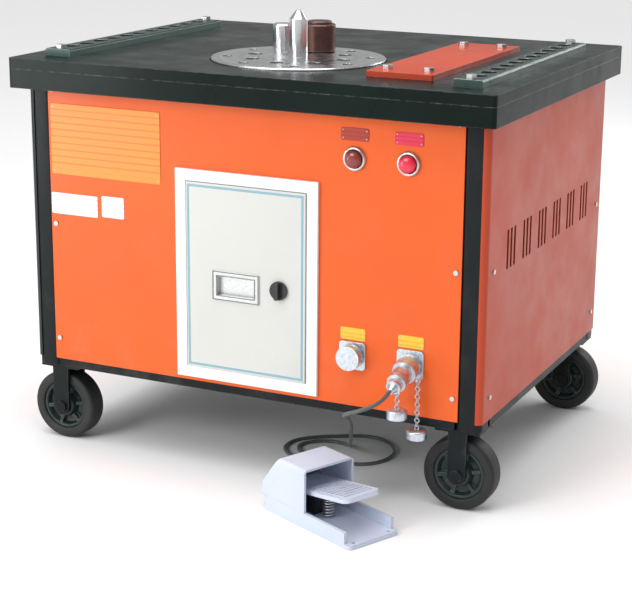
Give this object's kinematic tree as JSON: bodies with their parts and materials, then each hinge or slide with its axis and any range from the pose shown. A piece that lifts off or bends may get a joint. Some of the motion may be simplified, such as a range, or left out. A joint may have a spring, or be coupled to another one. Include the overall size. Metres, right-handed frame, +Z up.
{
  "type": "rebar bending machine",
  "caption": "Wheeled rebar bending machine: flat table with turning work disc, mandrel, roller and pins over a panelled cabinet, with a foot switch on a cable.",
  "frame": {"origin": "on the floor under the middle of the whole footprint, foot switch included, cable and plug left out", "axes": "+X to the operator's right along the table, +Y from the front panel to the back, +Z up"},
  "size_m": [0.953, 0.932, 0.835],
  "materials": {
    "black_paint": "satin",
    "orange_paint": "satin",
    "white_paint": "satin",
    "door_grey": "satin",
    "bright_steel": "brushed",
    "dark_steel": "oiled",
    "machined_steel": "machined",
    "cast_grey": "cast",
    "motor_grey": "satin",
    "socket_alloy": "satin",
    "tyre_rubber": "matt",
    "cable_rubber": "matt",
    "belt_rubber": "matt",
    "dark_plastic": "gloss",
    "red_plastic": "gloss",
    "black_plastic": "matt",
    "label_sheet": "satin",
    "pedal_paint": "hammered",
    "zinc": "plated"
  },
  "bodies": {
    "machine": {"base_frame": "black_paint", "table_plate": "black_paint", "table_skirt": "black_paint", "front_panel": "orange_paint", "rear_panel": "orange_paint", "right_panel": "orange_paint", "left_panel": "orange_paint", "floor_pan": "black_paint", "panel_screws": "zinc", "label_plates": "label_sheet", "door_frame": "white_paint", "hinge_pins": "zinc", "button_bezels": "zinc", "switch_blocks": "black_plastic", "left_socket": "socket_alloy", "right_socket": "socket_alloy", "left_socket_cap": "socket_alloy", "cable_plug": "socket_alloy", "foot_cable": "cable_rubber", "stop_block": "orange_paint", "table_bolts": "zinc", "right_pin_bar": "bright_steel", "left_pin_bar": "bright_steel", "wheel_brackets": "black_paint", "gear_case": "cast_grey", "gear_cover": "cast_grey", "shaft_bearings": "machined_steel", "v_belt": "belt_rubber", "motor_body": "motor_grey", "motor_bracket": "black_paint", "pedal_base": "pedal_paint", "pedal_hood": "pedal_paint", "return_spring": "zinc", "pedal_gland": "black_plastic"},
    "door": {"door_leaf": "door_grey", "door_pull": "zinc"},
    "lock": {"lock_knob": "black_plastic", "lock_cam": "zinc"},
    "left_button": {"left_button": "dark_plastic"},
    "right_button": {"right_button": "red_plastic"},
    "disc": {"work_disc": "bright_steel", "centre_mandrel": "bright_steel", "roller_pin": "dark_steel", "back_pin": "bright_steel", "main_shaft": "machined_steel", "main_gear": "machined_steel"},
    "roller": {"forming_roller": "dark_steel"},
    "lay_shaft": {"lay_pinion_shaft": "machined_steel", "first_gear": "machined_steel"},
    "input_shaft": {"input_pinion_shaft": "machined_steel", "driven_pulley": "cast_grey"},
    "motor_rotor": {"motor_shaft": "machined_steel", "motor_pulley": "cast_grey"},
    "treadle": {"pedal_treadle": "pedal_paint"},
    "socket_cap": {"right_socket_cap": "socket_alloy"},
    "plug_cap": {"plug_cap": "socket_alloy"},
    "front_left_wheel": {"wheel_front_left": "tyre_rubber"},
    "front_right_wheel": {"wheel_front_right": "tyre_rubber"},
    "rear_left_wheel": {"wheel_rear_left": "tyre_rubber"},
    "rear_right_wheel": {"wheel_rear_right": "tyre_rubber"}
  },
  "joints": [
    {"name": "disc_turn", "type": "hinge", "parent": "machine", "child": "disc", "pos_m": [0, -0.02902, 0.739], "axis": [0, 0, 1], "continuous": true},
    {"name": "lay_shaft_turn", "type": "hinge", "parent": "machine", "child": "lay_shaft", "pos_m": [0, 0.14248, 0.68], "axis": [0, 0, 1], "continuous": true},
    {"name": "input_shaft_turn", "type": "hinge", "parent": "machine", "child": "input_shaft", "pos_m": [0, 0.25498, 0.64], "axis": [0, 0, 1], "continuous": true},
    {"name": "motor_turn", "type": "hinge", "parent": "machine", "child": "motor_rotor", "pos_m": [-0.23, 0.25498, 0.56], "axis": [0, 0, 1], "continuous": true},
    {"name": "roller_turn", "type": "hinge", "parent": "disc", "child": "roller", "pos_m": [0, 0.06098, 0.795], "axis": [0, 0, 1], "continuous": true},
    {"name": "door_swing", "type": "hinge", "parent": "machine", "child": "door", "pos_m": [-0.113, -0.24402, 0.371], "axis": [0, 0, -1], "range_deg": [0, 105]},
    {"name": "lock_turn", "type": "hinge", "parent": "door", "child": "lock", "pos_m": [0.072, -0.24402, 0.364], "axis": [0, -1, 0], "range_deg": [0, 90]},
    {"name": "left_button_press", "type": "slide", "parent": "machine", "child": "left_button", "axis": [0, 1, 0], "range_m": [0, 0.004], "stiffness_N_per_m": 600, "springref_m": -0.002},
    {"name": "right_button_press", "type": "slide", "parent": "machine", "child": "right_button", "axis": [0, 1, 0], "range_m": [0, 0.004], "stiffness_N_per_m": 600, "springref_m": -0.002},
    {"name": "treadle_press", "type": "hinge", "parent": "machine", "child": "treadle", "pos_m": [0.1585, -0.33508, 0.046], "axis": [0.4226, 0.9063, 0], "range_deg": [0, 8], "stiffness_Nm_per_rad": 12, "springref_deg": -8.59, "deforming": ["return_spring"]},
    {"name": "socket_cap_swing", "type": "hinge", "parent": "machine", "child": "socket_cap", "pos_m": [0.346, -0.26202, 0.242], "axis": [0, 1, 0], "range_deg": [-20, 20]},
    {"name": "plug_cap_swing", "type": "hinge", "parent": "machine", "child": "plug_cap", "pos_m": [0.319, -0.28832, 0.22506], "axis": [0, 1, 0], "range_deg": [-20, 20]},
    {"name": "front_left_roll", "type": "hinge", "parent": "machine", "child": "front_left_wheel", "pos_m": [-0.41, -0.20302, 0.0665], "axis": [0, 1, 0], "continuous": true},
    {"name": "front_right_roll", "type": "hinge", "parent": "machine", "child": "front_right_wheel", "pos_m": [0.41, -0.20302, 0.0665], "axis": [0, 1, 0], "continuous": true},
    {"name": "rear_left_roll", "type": "hinge", "parent": "machine", "child": "rear_left_wheel", "pos_m": [-0.41, 0.39498, 0.0665], "axis": [0, 1, 0], "continuous": true},
    {"name": "rear_right_roll", "type": "hinge", "parent": "machine", "child": "rear_right_wheel", "pos_m": [0.41, 0.39498, 0.0665], "axis": [0, 1, 0], "continuous": true}
  ],
  "couplings": [
    {"joint": "lay_shaft_turn", "follows": "disc_turn", "ratio": -4.4444},
    {"joint": "input_shaft_turn", "follows": "disc_turn", "ratio": 17.778},
    {"joint": "motor_turn", "follows": "disc_turn", "ratio": 53.333}
  ]
}
